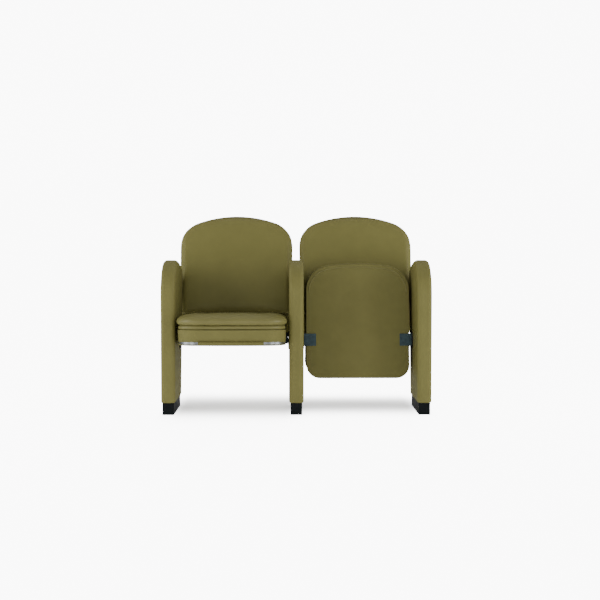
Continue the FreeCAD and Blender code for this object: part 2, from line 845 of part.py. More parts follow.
def make_bushes(label, across, raised):
    """Two nylon bushes, pressed into the shoes, that turn on the pins."""
    body = new_body(label)
    body.AllowCompound = True
    for side in (-1, 1):
        bush = new_sketch(body, "YZ_Plane", size.panel_half if side > 0 else -shoe_outer)
        draw_circle(bush, 0, 0, size.pin_diameter + size.bush_wall * 2 - size.bush_clear)
        draw_circle(bush, 0, 0, size.pin_diameter + size.running_gap * 2)
        pad(body, bush, shoe_outer - size.panel_half)
    tip(body, across, raised)


def make_shoe_screws(label, across, raised):
    """Four screws up through the lugs and the underside panel into the tray."""
    body = new_body(label)
    body.AllowCompound = True
    low = panel_low - size.lug_thickness
    heads = new_sketch(body, "XY_Plane", low - size.screw_head_height)
    shanks = new_sketch(body, "XY_Plane", low)
    for x, y in shoe_screw_places():
        draw_circle(heads, x, y, size.screw_head)
        draw_circle(shanks, x, y, size.screw_diameter)
    pad(body, heads, size.screw_head_height)
    pad(body, shanks, strap_top - low)
    tip(body, across, raised)


def soft_wire(half, rear, front, rear_corner, front_corner, height):
    """A closed plan wire of lines and arcs at a height, for the lofts of the soft pieces."""
    steps = plan_outline(half, rear, front, rear_corner, front_corner)
    corners = [point(step[0] if len(step) == 3 else step) for step in steps]
    edges = []
    for index, step in enumerate(steps):
        start, end = corners[index - 1], corners[index]
        if len(step) == 3:
            middle = arc_middle(start, end, point(step[1]), step[2].value)
            edges.append(Part.Arc(start, middle, end).toShape())
        else:
            edges.append(Part.LineSegment(start, end).toShape())
    wire = Part.Wire(edges)
    wire.translate(V(0, 0, height))
    return wire


def new_soft(label, shape):
    item = document.addObject("Part::Feature", "Soft")
    item.Shape = shape
    item.Label = label
    made[label] = item
    return item


def make_roll(label, across, raised):
    """The soft roll between the tray and the cushion."""
    gap, low = size.soft_gap.value, size.tray_top.value
    high = roll_top.value - gap
    swell = (high - low) / 3
    sections = []
    for share, inset in ((0.0, 1.0), (0.25, 0.3), (0.5, 0.0), (0.75, 0.3), (1.0, 1.0)):
        height = low + gap + (high - low - gap) * share
        inset = inset * swell
        sections.append(soft_wire(
            (size.tray_half + size.roll_proud).value - inset,
            size.cushion_rear.value - inset,
            (size.tray_front + size.roll_proud).value - inset,
            size.tray_rear_corner.value - inset,
            size.tray_corner.value - inset,
            height,
        ))
    tip(new_soft(label, Part.makeLoft(sections, True, False)), across, raised)


def make_cushion(label, across, raised):
    """The seat cushion: drawn-in sides, a full front edge and a crowned top."""
    low = roll_top.value
    rise = size.cushion_top.value - low
    levels = (
        (0.00, 7, 7), (0.12, 2, 2), (0.28, 0, 0), (0.45, 1.5, 2), (0.62, 7, 6),
        (0.78, 20, 17), (0.90, 44, 38), (0.97, 84, 74), (1.00, 140, 128),
    )
    sections = []
    for share, inset, rear_inset in levels:
        corner = max(size.cushion_corner.value - inset * 0.3, size.crown_corner.value)
        rear_corner = max(size.cushion_rear_corner.value - inset * 0.2, size.crown_corner.value)
        sections.append(soft_wire(
            size.cushion_half.value - inset,
            size.cushion_rear.value - rear_inset,
            size.cushion_front.value - inset,
            rear_corner,
            corner,
            low + rise * share,
        ))
    tip(new_soft(label, Part.makeLoft(sections, True, False)), across, raised)


half_lower = size.lower_lean / 2
half_upper = (size.upper_lean - size.lower_lean) / 2
lower_tangent = size.derive(
    "lower_tangent", size.lower_bend_radius * sine(half_lower) / cosine(half_lower), "lower bend of the back"
)
upper_tangent = size.derive(
    "upper_tangent", size.upper_bend_radius * sine(half_upper) / cosine(half_upper), "upper bend of the back"
)
upper_bend_back = size.derive(
    "upper_bend_back",
    size.back_front
    + (size.upper_bend_height - size.lower_bend_height) * sine(size.lower_lean) / cosine(size.lower_lean),
    "corner of the upper bend behind the origin",
)
path_top = size.derive("path_top", size.back_top + 30, "end of the path of the back")


def back_path(body):
    """The front line of the shell, seen from the side: upright, then leaning, then leaning more."""
    lower, upper = size.lower_lean, size.upper_lean
    first = (size.back_front, size.lower_bend_height - lower_tangent)
    second = (
        size.back_front + lower_tangent * sine(lower),
        size.lower_bend_height + lower_tangent * cosine(lower),
    )
    third = (
        upper_bend_back - upper_tangent * sine(lower),
        size.upper_bend_height - upper_tangent * cosine(lower),
    )
    fourth = (
        upper_bend_back + upper_tangent * sine(upper),
        size.upper_bend_height + upper_tangent * cosine(upper),
    )
    last = (
        upper_bend_back + (path_top - size.upper_bend_height) * sine(upper) / cosine(upper),
        path_top,
    )
    upper_centre = (
        third[0] + size.upper_bend_radius * cosine(lower),
        third[1] - size.upper_bend_radius * sine(lower),
    )
    sketch = new_sketch(body, "YZ_Plane")
    return draw(sketch, [
        (size.back_front, size.back_bottom),
        first,
        (second, (first[0] + size.lower_bend_radius, first[1]), size.lower_bend_radius),
        third,
        (fourth, upper_centre, size.upper_bend_radius),
        last,
    ], closed=False)


shoulder_centre = size.derive("shoulder_centre", size.back_half - size.shoulder_radius, "from the middle")
dome_rise = size.derive(
    "dome_rise", size.back_top - size.shoulder_height, "top of the back over the shoulders"
)
dome_radius = size.derive(
    "dome_radius",
    (
        shoulder_centre * shoulder_centre
        + dome_rise * dome_rise
        - size.shoulder_radius * size.shoulder_radius
    ) / ((dome_rise - size.shoulder_radius) * 2),
    "top edge of the back",
)


def back_outline(inset, bottom):
    """Front view of the back, drawn in by an inset, down to a bottom edge."""
    inset = as_dim(inset)
    top_centre = (0, size.back_top - dome_radius)
    shoulder = size.shoulder_radius - inset
    share = (dome_radius - inset) / (dome_radius - size.shoulder_radius)
    turn = (shoulder_centre * share, top_centre[1] + (size.shoulder_height - top_centre[1]) * share)
    corner = size.back_corner - inset
    low_half = size.back_half_low - inset
    return [
        (low_half - corner, bottom),
        ((low_half, bottom + corner), (low_half - corner, bottom + corner), corner),
        (size.back_half - inset, size.shoulder_height),
        (turn, (shoulder_centre, size.shoulder_height), shoulder),
        ((-turn[0], turn[1]), top_centre, dome_radius - inset),
        ((inset - size.back_half, size.shoulder_height), (-shoulder_centre, size.shoulder_height), shoulder),
        (-low_half, bottom + corner),
        ((corner - low_half, bottom), (corner - low_half, bottom + corner), corner),
    ]


def make_back_slab(label, across, inset, front, thickness):
    """A bent slab of the back: a strip swept up the path and trimmed to the front outline."""
    body = new_body(label)
    path = back_path(body)
    half = size.back_half + 10
    strip = new_sketch(body, "XY_Plane", size.back_bottom)
    draw_box(strip, -half, half, size.back_front + front, size.back_front + front + thickness)
    sweep = feature(body, "AdditivePipe", strip)
    sweep.Spine = (path, [f"Edge{number}" for number in range(1, 6)])
    trim = new_sketch(body, "XZ_Plane")
    draw_box(trim, -half * 2, half * 2, 0, size.back_top * 2)
    steps = back_outline(inset, size.back_bottom + as_dim(inset))
    draw(trim, steps)
    cut_against(body, trim, size.back_top)
    place_on_row(body, across)
    return body


def leaning(along, off):
    """A point beside the straight lower lean of the back: height along it, distance off its front."""
    rise = along - size.lower_bend_height
    back = size.back_front + rise * sine(size.lower_lean) / cosine(size.lower_lean)
    return (back + off * cosine(size.lower_lean), along - off * sine(size.lower_lean))


def make_rear_panel(label, across):
    """The upholstered rear panel, recessed for the flanges of the two brackets."""
    body = make_back_slab(label, across, 2, size.shell_thickness, size.rear_panel_thickness)
    room = size.side_gap
    low, high = size.bracket_foot - room * 5, size.bracket_head + room * 5
    front = size.shell_thickness - 2
    deep = size.shell_thickness + size.bracket_thickness + room
    for side in (-1, 1):
        inner = size.back_half - size.bracket_reach - room
        outer = size.back_half + 5
        recess = new_sketch(body, "YZ_Plane", inner if side > 0 else -outer)
        draw(recess, [leaning(low, front), leaning(high, front), leaning(high, deep), leaning(low, deep)])
        cut_along(body, recess, outer - inner)


def make_bracket(label, across, side):
    """An angle bracket: a web against the rear arms and a flange across the back of the shell."""
    body = new_body(label)
    arm_face = size.arm_width / 2
    thick = size.bracket_thickness
    near, far = size.shell_thickness, size.shell_thickness + thick
    low, high = size.bracket_foot, size.bracket_head
    web = new_sketch(body, "YZ_Plane", arm_face if side > 0 else -arm_face - thick)
    draw(web, [
        (rear_edge(low) + size.bracket_clear, low),
        leaning(low, far),
        leaning(high, far),
        (rear_edge(high) + size.bracket_clear, high),
    ])
    for height in (size.lower_arm_height, size.upper_arm_height):
        draw_circle(web, bolt_back(height), height, size.bolt_diameter + size.running_gap * 2)
    pad(body, web, thick)
    reach = place_centre - size.back_half + size.bracket_reach - arm_face
    flange = new_sketch(body, "YZ_Plane", arm_face if side > 0 else -arm_face - reach)
    draw(flange, [leaning(low, near), leaning(high, near), leaning(high, far), leaning(low, far)])
    pad(body, flange, reach)
    place_on_row(body, across)


def make_back_bolts(label, place):
    """Four bolts of one back: two through each bracket into the rear arms."""
    body = new_body(label)
    body.AllowCompound = True
    face = size.arm_width / 2 + size.bracket_thickness
    shank = face - 0.5
    for end in (-1, 1):
        middle = end * place_centre
        shank_start = middle + 0.5 if end < 0 else middle - face
        head_start = middle + face if end < 0 else middle - face - size.bolt_head_height
        shanks = new_sketch(body, "YZ_Plane", shank_start)
        heads = new_sketch(body, "YZ_Plane", head_start)
        for height in (size.lower_arm_height, size.upper_arm_height):
            draw_circle(shanks, bolt_back(height), height, size.bolt_diameter)
            draw_circle(heads, bolt_back(height), height, size.bolt_head)
        pad(body, shanks, shank)
        pad(body, heads, size.bolt_head_height)
    place_on_row(body, place)


def shell_depth(height):
    """How far behind the origin the front of the shell is, and its lean there."""
    lower, upper = math.radians(size.lower_lean.value), math.radians(size.upper_lean.value)
    start = size.lower_bend_height.value
    bend = size.upper_bend_height.value
    if height < start:
        return size.back_front.value, 0.0
    if height < bend:
        return size.back_front.value + (height - start) * math.tan(lower), lower
    return upper_bend_back.value + (height - bend) * math.tan(upper), upper


def back_half_at(height, inset):
    """Half width of the back at a height."""
    shoulder = size.shoulder_height.value
    centre, radius = shoulder_centre.value, size.shoulder_radius.value - inset
    dome, top = dome_radius.value, size.back_top.value
    turn = top - dome + (shoulder - top + dome) * dome / (dome - size.shoulder_radius.value)
    if height <= shoulder:
        share = (height - size.back_bottom.value) / (shoulder - size.back_bottom.value)
        return size.back_half_low.value * (1 - share) + size.back_half.value * share - inset
    if height <= turn - inset:
        return centre + math.sqrt(max(radius ** 2 - (height - shoulder) ** 2, 0))
    return math.sqrt(max((dome - inset) ** 2 - (height - top + dome) ** 2, 0))


def make_back_pad(label, across):
    """The back pad: a loft up the back, crowned across, thin at the sides, the foot and the top."""
    low, high = size.pad_bottom.value, size.back_top.value
    full = size.pad_thickness.value
    levels = (
        (0.0, 0.70), (0.018, 0.90), (0.05, 1.0), (0.16, 1.0), (0.30, 1.0), (0.44, 0.97), (0.56, 0.93),
        (0.68, 0.88), (0.78, 0.82), (0.86, 0.76), (0.92, 0.69), (0.965, 0.58), (0.993, 0.42),
    )
    gap = size.soft_gap.value
    sections = []
    for share, thickness_share in levels:
        height = low + (high - low) * share
        depth, lean = shell_depth(height)
        half = back_half_at(height, 0)
        thick = full * thickness_share
        rear = depth - gap * 2
        front = rear - thick / math.cos(lean)
        side = min(size.pad_side.value, thick * 0.6)
        edge = rear - side
        corner = min(half * 0.3, size.pad_roll.value)
        rear_left, rear_right = V(4 - half, rear, height), V(half - 4, rear, height)
        shoulder = (front + edge) / 2 - thick * 0.12
        swell = (edge + shoulder) / 2 - 2.5
        left, right = V(corner - half, shoulder, height), V(half - corner, shoulder, height)
        sections.append(Part.Wire([
            Part.LineSegment(rear_left, rear_right).toShape(),
            Part.Arc(rear_right, V(half, edge + side * 0.35, height), V(half - 3, edge, height)).toShape(),
            Part.Arc(V(half - 3, edge, height), V(half - corner * 0.42, swell, height), right).toShape(),
            Part.Arc(right, V(0, front, height), left).toShape(),
            Part.Arc(left, V(corner * 0.42 - half, swell, height), V(3 - half, edge, height)).toShape(),
            Part.Arc(V(3 - half, edge, height), V(-half, edge + side * 0.35, height), rear_left).toShape(),
        ]))
    item = new_soft(label, Part.makeLoft(sections, True, False))
    bind(item, "Placement.Base.x", across)


STANDARDS = (("left", -1, (1,)), ("middle", 0, (-1, 1)), ("right", 1, (-1,)))
PLACES = (("left", -1, False), ("right", 1, True))


def main():
    for name, step, pivot_sides in STANDARDS:
        across = step * size.seat_pitch
        make_frame(f"{name}_standard_frame", across)
        make_plinth(f"{name}_plinth", across)
        make_edge_band(f"{name}_edge_band", across)
        for side, side_name in ((-1, "left"), (1, "right")):
            has_pivot = side in pivot_sides
            make_side_panel(f"{name}_standard_{side_name}_panel", across, side, has_pivot)
            if has_pivot:
                make_pivot_plate(f"{name}_standard_{side_name}_pivot_plate", across, side)
                make_pivot_pin(f"{name}_standard_{side_name}_pivot_pin", across, side)
                make_stop_buffers(f"{name}_standard_{side_name}_stop_buffers", across, side)
    for name, step, raised in PLACES:
        across = step * place_centre
        make_underside(f"{name}_seat_underside_panel", across, raised)
        make_strap(f"{name}_seat_strap_frame", across, raised)
        make_tray(f"{name}_seat_tray", across, raised)
        make_roll(f"{name}_seat_roll", across, raised)
        make_cushion(f"{name}_seat_cushion", across, raised)
        make_shoe(f"{name}_seat_left_hinge_shoe", across, raised, -1)
        make_shoe(f"{name}_seat_right_hinge_shoe", across, raised, 1)
        make_bushes(f"{name}_seat_bushes", across, raised)
        make_shoe_screws(f"{name}_seat_shoe_screws", across, raised)
        make_back_pad(f"{name}_back_pad", across)
        make_back_slab(f"{name}_back_shell", across, size.shell_inset, 0, size.shell_thickness)
        make_rear_panel(f"{name}_back_rear_panel", across)
        make_bracket(f"{name}_back_left_bracket", across - place_centre, 1)
        make_bracket(f"{name}_back_right_bracket", across + place_centre, -1)
        make_back_bolts(f"{name}_back_bolts", across)
    document.recompute()
    for item in document.Objects:
        if "Invalid" in item.State or "Error" in item.State:
            raise RuntimeError(f"{item.Label} ({item.Name}) did not build: {item.State}")
    for label, item in made.items():
        if item.Shape.isNull() or not item.Shape.isValid():
            raise RuntimeError(f"{label} has no valid shape")
    os.makedirs("parts", exist_ok=True)
    for label, item in made.items():
        item.Shape.exportStep(f"parts/{label}.step")
        box = item.Shape.BoundBox
        print(f"{label}: {len(item.Shape.Solids)} solid(s), {item.Shape.Volume / 1000:.1f} cm3, "
              f"z {box.ZMin:.1f} to {box.ZMax:.1f}")


main()
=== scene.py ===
import logging
import math
from contextlib import contextmanager
from dataclasses import dataclass, field
from enum import Enum
from typing import Callable, Iterator

import bmesh
import bpy
from mathutils import Matrix, Vector


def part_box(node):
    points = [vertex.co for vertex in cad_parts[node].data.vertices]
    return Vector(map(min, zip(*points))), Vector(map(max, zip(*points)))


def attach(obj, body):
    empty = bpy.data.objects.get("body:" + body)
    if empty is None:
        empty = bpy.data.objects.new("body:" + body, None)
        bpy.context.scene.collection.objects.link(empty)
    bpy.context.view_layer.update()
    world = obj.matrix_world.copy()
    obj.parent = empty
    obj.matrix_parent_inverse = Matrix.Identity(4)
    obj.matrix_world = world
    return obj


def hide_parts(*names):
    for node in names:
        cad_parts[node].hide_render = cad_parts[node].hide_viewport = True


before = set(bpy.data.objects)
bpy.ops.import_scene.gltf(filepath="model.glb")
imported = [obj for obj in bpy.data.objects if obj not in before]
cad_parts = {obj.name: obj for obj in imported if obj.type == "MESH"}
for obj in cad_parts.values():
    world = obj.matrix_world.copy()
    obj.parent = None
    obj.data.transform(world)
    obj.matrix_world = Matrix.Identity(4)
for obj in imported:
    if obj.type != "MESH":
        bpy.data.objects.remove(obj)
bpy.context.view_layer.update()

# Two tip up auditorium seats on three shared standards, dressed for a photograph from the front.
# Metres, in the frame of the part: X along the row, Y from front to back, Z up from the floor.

log = logging.getLogger("auditorium_seat")

MM = 0.001
NOISE_MIDDLE = (0.3, 0.7)
SAME_PLACE = 0.01 * MM
WELD = 0.02 * MM


class Slot(Enum):
    """The material slots of the record; this script gives no piece one of them."""

    LEATHER = "olive_leather"
    SOFT = "soft_olive"


class Place(Enum):
    """The two places of the row, by the word that starts the names of their nodes."""

    LEFT = "left"
    RIGHT = "right"


def linear(red: int, green: int, blue: int) -> tuple[float, float, float, float]:
    """Turn a colour picked on a screen into the linear colour of a shader.

    Args:
        red, green, blue: Screen values from 0 to 255.

    Returns:
        The linear red, green, blue and an alpha of 1.
    """
    shares = [value / 255 for value in (red, green, blue)]
    lit = [share / 12.92 if share <= 0.04045 else ((share + 0.055) / 1.055) ** 2.4 for share in shares]
    return (lit[0], lit[1], lit[2], 1.0)


def shaded(colour: tuple[float, ...], factor: float) -> tuple[float, float, float, float]:
    """A linear colour made lighter or darker by a factor."""
    return (colour[0] * factor, colour[1] * factor, colour[2] * factor, 1.0)


class NodeSheet:
    """The shader nodes of one material, laid from left to right as they are added."""

    first_column = -1400
    column_width = 120

    def __init__(self, name: str) -> None:
        """Start a material that holds only a Principled shader and its output."""
        self.material = bpy.data.materials.new(name)
        self.material.use_nodes = True
        self.tree = self.material.node_tree
        self.shader = self.tree.nodes["Principled BSDF"]
        self.column = self.first_column
        self.object_place = self.add("ShaderNodeTexCoord").outputs["Object"]

    def add(
        self, kind: str, inputs: dict[str | int, object] | None = None, **settings: object
    ) -> bpy.types.Node:
        """Add a node.

        Args:
            kind: The node's type.
            inputs: Values or output sockets, by the name of the input.
            settings: Properties of the node.

        Returns:
            The new node.
        """
        node = self.tree.nodes.new(kind)
        node.location = (self.column, 0)
        self.column += self.column_width
        for name, value in settings.items():
            setattr(node, name, value)
        for name, value in (inputs or {}).items():
            self.feed(node.inputs[name], value)
        return node

    def feed(self, socket: bpy.types.NodeSocket, value: object) -> None:
        """Give an input a value, or link it to an output."""
        if isinstance(value, bpy.types.NodeSocket):
            self.tree.links.new(value, socket)
        else:
            socket.default_value = value

    def noise(self, size: float, detail: float = 3.0, roughness: float = 0.5) -> bpy.types.NodeSocket:
        """Soft noise whose patches are about a size, in metres, across."""
        settings = {"Vector": self.object_place, "Scale": 1 / size, "Detail": detail, "Roughness": roughness}
        return self.add("ShaderNodeTexNoise", settings).outputs["Fac"]

    def ramp(self, factor: bpy.types.NodeSocket, stops: list[tuple[float, tuple]]) -> bpy.types.NodeSocket:
        """A colour ramp over a factor.

        Args:
            factor: The output that drives it.
            stops: Two or more pairs of position and colour.

        Returns:
            The colour output.
        """
        node = self.add("ShaderNodeValToRGB", {"Fac": factor})
        points = node.color_ramp.elements
        while len(points) < len(stops):
            points.new(0.5)
        for point, (position, colour) in zip(points, stops):
            point.position = position
            point.color = colour
        return node.outputs["Color"]

    def between(
        self, value: bpy.types.NodeSocket, source: tuple[float, float], target: tuple[object, object]
    ) -> bpy.types.NodeSocket:
        """A value carried from one span to another and held within it.

        Args:
            value: The output to carry over.
            source: The span that it comes from.
            target: The span that it goes to, as numbers or outputs.

        Returns:
            The result.
        """
        inputs = {
            "Value": value,
            "From Min": source[0],
            "From Max": source[1],
            "To Min": target[0],
            "To Max": target[1],
        }
        return self.add("ShaderNodeMapRange", inputs, clamp=True).outputs["Result"]

    def spread(self, factor: bpy.types.NodeSocket, low: float, high: float) -> bpy.types.NodeSocket:
        """The middle of a noise output stretched between two values."""
        return self.between(factor, NOISE_MIDDLE, (low, high))

    def stretched(
        self, size: float, scale: tuple[float, float, float], detail: float = 2.0
    ) -> bpy.types.NodeSocket:
        """Noise whose patches are drawn out along the axes with a small scale."""
        drawn_out = self.add(
            "ShaderNodeMapping", {"Vector": self.object_place, "Scale": scale}
        ).outputs["Vector"]
        inputs = {"Vector": drawn_out, "Scale": 1 / size, "Detail": detail}
        return self.add("ShaderNodeTexNoise", inputs).outputs["Fac"]

    def calculate(self, operation: str, first: object, second: object = 0.0) -> bpy.types.NodeSocket:
        """The result of one Math node over numbers or outputs."""
        return self.add("ShaderNodeMath", {0: first, 1: second}, operation=operation).outputs["Value"]

    def bump(
        self, height: bpy.types.NodeSocket, depth: float, before: bpy.types.NodeSocket | None = None
    ) -> bpy.types.NodeSocket:
        """A bump of a real depth, in metres, over another bump if there is one."""
        node = self.add("ShaderNodeBump", {"Height": height, "Distance": depth, "Strength": 1.0})
        if before is not None:
            self.feed(node.inputs["Normal"], before)
        return node.outputs["Normal"]

    def finish(self, **sockets: object) -> bpy.types.Material:
        """Feed the Principled shader and give the material back."""
        for name, value in sockets.items():
            self.feed(self.shader.inputs[name.replace("_", " ")], value)
        return self.material


@dataclass(frozen=True)
class Leather:
    """Coated leather: a pebbled grain, a soft shine that wears unevenly and, on a seat, pull lines."""

    name: str
    colour: tuple[float, ...]
    roughness: float = 0.42
    grain: float = 1.6 * MM
    grain_depth: float = 0.10 * MM
    cloud: float = 90 * MM
    contrast: float = 0.04
    crease_edge: float = 0.12
    crease_level: float = 0.82
    ripple: float = 14 * MM
    ripple_depth: float = 0.12 * MM
    wear: float = 55 * MM
    pull: float = 16 * MM
    pull_depth: float = 0.0
    shine: float = 0.1

    def material(self) -> bpy.types.Material:
        """Build the node material."""
        sheet = NodeSheet(self.name)
        clouds = sheet.noise(self.cloud, detail=4.0)
        base = sheet.ramp(clouds, [
            (0.3, shaded(self.colour, 1 - self.contrast)),
            (0.7, shaded(self.colour, 1 + self.contrast)),
        ])
        pores = sheet.add(
            "ShaderNodeTexVoronoi",
            {"Vector": sheet.object_place, "Scale": 1 / self.grain, "Randomness": 1.0},
            feature="DISTANCE_TO_EDGE",
        ).outputs["Distance"]
        creases = sheet.between(pores, (0.0, self.crease_edge), (self.crease_level, 1.0))
        grain = sheet.bump(creases, self.grain_depth)
        ripple = sheet.bump(sheet.noise(self.ripple, detail=2.0), self.ripple_depth, grain)
        if self.pull_depth > 0:
            ripple = sheet.bump(sheet.stretched(self.pull, (0.1, 1.0, 1.0)), self.pull_depth, ripple)
        worn = sheet.spread(sheet.noise(self.wear), self.roughness - 0.05, self.roughness + 0.07)
        return sheet.finish(
            Base_Color=base,
            Roughness=worn,
            Normal=ripple,
            Specular_IOR_Level=self.shine,
        )


@dataclass(frozen=True)
class PaintedSteel:
    """Powder coated steel: a fine orange peel and a dusting of lighter specks."""

    name: str
    colour: tuple[float, ...]
    roughness: float = 0.45
    peel: float = 0.9 * MM
    peel_depth: float = 0.03 * MM
    speck: float = 2.5 * MM
    wear: float = 40 * MM

    def material(self) -> bpy.types.Material:
        """Build the node material."""
        sheet = NodeSheet(self.name)
        specks = sheet.ramp(sheet.noise(self.speck, detail=6.0), [
            (0.45, shaded(self.colour, 0.9)),
            (0.72, shaded(self.colour, 1.35)),
        ])
        worn = sheet.spread(sheet.noise(self.wear), self.roughness - 0.06, self.roughness + 0.08)
        return sheet.finish(
            Base_Color=specks,
            Roughness=worn,
            Normal=sheet.bump(sheet.noise(self.peel, detail=1.0), self.peel_depth),
            Specular_IOR_Level=0.3,
        )


@dataclass(frozen=True)
class CastMetal:
    """Die cast metal with a rough skin and a dull metallic shine."""

    name: str
    colour: tuple[float, ...]
    metallic: float = 0.55
    roughness: float = 0.5
    skin: float = 1.2 * MM
    skin_depth: float = 0.06 * MM
    cloud: float = 18 * MM
    wear: float = 9 * MM

    def material(self) -> bpy.types.Material:
        """Build the node material."""
        sheet = NodeSheet(self.name)
        tone = sheet.ramp(sheet.noise(self.cloud, detail=5.0), [
            (0.35, shaded(self.colour, 0.82)),
            (0.68, shaded(self.colour, 1.18)),
        ])
        worn = sheet.spread(sheet.noise(self.wear), self.roughness - 0.1, self.roughness + 0.1)
        return sheet.finish(
            Base_Color=tone,
            Roughness=worn,
            Normal=sheet.bump(sheet.noise(self.skin, detail=3.0), self.skin_depth),
            Metallic=self.metallic,
        )


@dataclass(frozen=True)
class BrushedSteel:
    """Bright steel with fine lines drawn along the row."""

    name: str
    colour: tuple[float, ...]
    roughness: float = 0.3
    line: float = 0.4 * MM
    line_depth: float = 0.01 * MM
    cloud: float = 30 * MM

    def material(self) -> bpy.types.Material:
        """Build the node material."""
        sheet = NodeSheet(self.name)
        lines = sheet.stretched(self.line, (0.03, 1.0, 1.0))
        tone = sheet.ramp(sheet.noise(self.cloud), [
            (0.35, shaded(self.colour, 0.9)),
            (0.65, shaded(self.colour, 1.08)),
        ])
        return sheet.finish(
            Base_Color=tone,
            Roughness=sheet.spread(lines, self.roughness - 0.06, self.roughness + 0.08),
            Normal=sheet.bump(lines, self.line_depth),
            Metallic=1.0,
        )


@dataclass(frozen=True)
class MouldedPlastic:
    """Moulded nylon or rubber: an even colour with a matt, faintly uneven skin."""

    name: str
    colour: tuple[float, ...]
    roughness: float = 0.55
    skin: float = 0.7 * MM
    skin_depth: float = 0.02 * MM
    cloud: float = 12 * MM
    wear: float = 20 * MM

    def material(self) -> bpy.types.Material:
        """Build the node material."""
        sheet = NodeSheet(self.name)
        tone = sheet.ramp(sheet.noise(self.cloud), [
            (0.35, shaded(self.colour, 0.93)),
            (0.65, shaded(self.colour, 1.07)),
        ])
        return sheet.finish(
            Base_Color=tone,
            Roughness=sheet.spread(sheet.noise(self.wear), self.roughness - 0.05, self.roughness + 0.05),
            Normal=sheet.bump(sheet.noise(self.skin), self.skin_depth),
            Specular_IOR_Level=0.2,
        )


@dataclass(frozen=True)
class BackdropPaper:
    """The pale paper that the row stands on: it burns out to white, save for a painted shadow band under the
    seats.
    """

    name: str
    colour: tuple[float, ...]
    burn_out: float = 9.0
    wall_glow: float = 1.5
    floor_glow: float = 0.6
    shine_glow: float = 0.1
    # Painted shadow band on the floor: how dark it is, where it centres, its length front to back and its
    # reach along the row, for the left and the right place.
    shade_depth: float = 2.55
    shade_back: tuple[float, float] = (130 * MM, 165 * MM)
    shade_length: tuple[float, float] = (250 * MM, 205 * MM)
    shade_half: tuple[float, float] = (500 * MM, 600 * MM)
    middle: tuple[float, float] = (-50 * MM, 50 * MM)
    wall_foot: tuple[float, float] = (0.1, 1.2)
    shine_share: float = 0.12

    def material(self) -> bpy.types.Material:
        """Build the node material."""
        sheet = NodeSheet(self.name)
        place = sheet.add("ShaderNodeSeparateXYZ", {"Vector": sheet.object_place}).outputs
        path = sheet.add("ShaderNodeLightPath").outputs
        glossy, camera = path["Is Glossy Ray"], path["Is Camera Ray"]
        tone = sheet.ramp(glossy, [(0.0, self.colour), (1.0, shaded(self.colour, self.shine_share))])
        glow = sheet.between(place["Y"], self.wall_foot, (self.floor_glow, self.wall_glow))
        indirect = sheet.between(glossy, (0.0, 1.0), (glow, self.shine_glow))
        # The camera sees the burnt-out white darkened by the painted shadow band.
        seen = sheet.calculate("MULTIPLY", self.burn_out, self.shade(sheet, place))
        strength = sheet.between(camera, (0.0, 1.0), (indirect, seen))
        return sheet.finish(
            Base_Color=tone,
            Roughness=0.9,
            Specular_IOR_Level=0.1,
            Emission_Color=(1.0, 1.0, 1.0, 1.0),
            Emission_Strength=strength,
        )

    def shade(self, sheet: NodeSheet, place: bpy.types.NodeOutputs) -> bpy.types.NodeSocket:
        """Painted shadow: the share of the glow left on the floor, a soft dark band painted under the seats,
        from end to end.

        Args:
            sheet: The sheet to draw on.
            place: The outputs that hold the X, Y and Z of the point.

        Returns:
            The share, 1 away from the row.
        """
        # The painted shadow sits further back and runs shorter on the right, under the raised seat.
        back = sheet.between(place["X"], self.middle, self.shade_back)
        length = sheet.between(place["X"], self.middle, self.shade_length)
        away = sheet.calculate("DIVIDE", sheet.calculate("SUBTRACT", place["Y"], back), length)
        fall = sheet.calculate("MULTIPLY", sheet.calculate("MULTIPLY", away, away), -1.0)
        reach = sheet.between(sheet.calculate("ABSOLUTE", place["X"]), self.shade_half, (1.0, 0.0))
        band = sheet.calculate("MULTIPLY", sheet.calculate("EXPONENT", fall), reach)
        return sheet.calculate("EXPONENT", sheet.calculate("MULTIPLY", band, -self.shade_depth))


OLIVE = linear(117, 113, 65)


@dataclass
class Finishes:
    """Every finish of the row, made once and shared."""

    leather: Leather = Leather("olive_leather", OLIVE)
    # Painted light: the back pads take the olive 5% lighter, for the overhead light that their tilt catches.
    soft_leather: Leather = Leather("soft_olive_leather", shaded(OLIVE, 1.05), roughness=0.4)
    cushion_leather: Leather = Leather(
        "seat_leather", OLIVE, roughness=0.36, pull_depth=0.9 * MM, shine=0.3
    )
    clad: Leather = Leather("olive_clad", shaded(OLIVE, 0.95), roughness=0.45)
    # Painted shade: the underside and rear panels take the olive 10% darker, for the shade on the face of the
    # raised seat.
    underside: Leather = Leather("olive_underside", shaded(OLIVE, 0.9), roughness=0.5)
    plinth: MouldedPlastic = MouldedPlastic("plinth_black", linear(14, 19, 21), roughness=0.4)
    black_steel: PaintedSteel = PaintedSteel("black_steel", linear(18, 19, 20))
    bright_steel: BrushedSteel = BrushedSteel("bright_steel", linear(176, 180, 182))
    slate: CastMetal = CastMetal("slate_casting", linear(58, 76, 82))
    nylon: MouldedPlastic = MouldedPlastic("nylon_bush", linear(225, 222, 210), roughness=0.45)
    rubber: MouldedPlastic = MouldedPlastic("stop_rubber", linear(30, 30, 30), roughness=0.75)
    made: dict[str, bpy.types.Material] = field(default_factory=dict)

    def dress(self, target: bpy.types.Object, finish: str) -> None:
        """Give an object a finish in its only material slot.

        Args:
            target: A new piece or a carried node.
            finish: The name of a field of this class.
        """
        if finish not in self.made:
            self.made[finish] = getattr(self, finish).material()
        if not target.material_slots:
            target.data.materials.append(self.made[finish])
        for slot in target.material_slots:
            slot.material = self.made[finish]

    def dress_nodes(self, finish: str, *names: str) -> None:
        """Give carried nodes a finish."""
        for name in names:
            self.dress(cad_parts[name], finish)


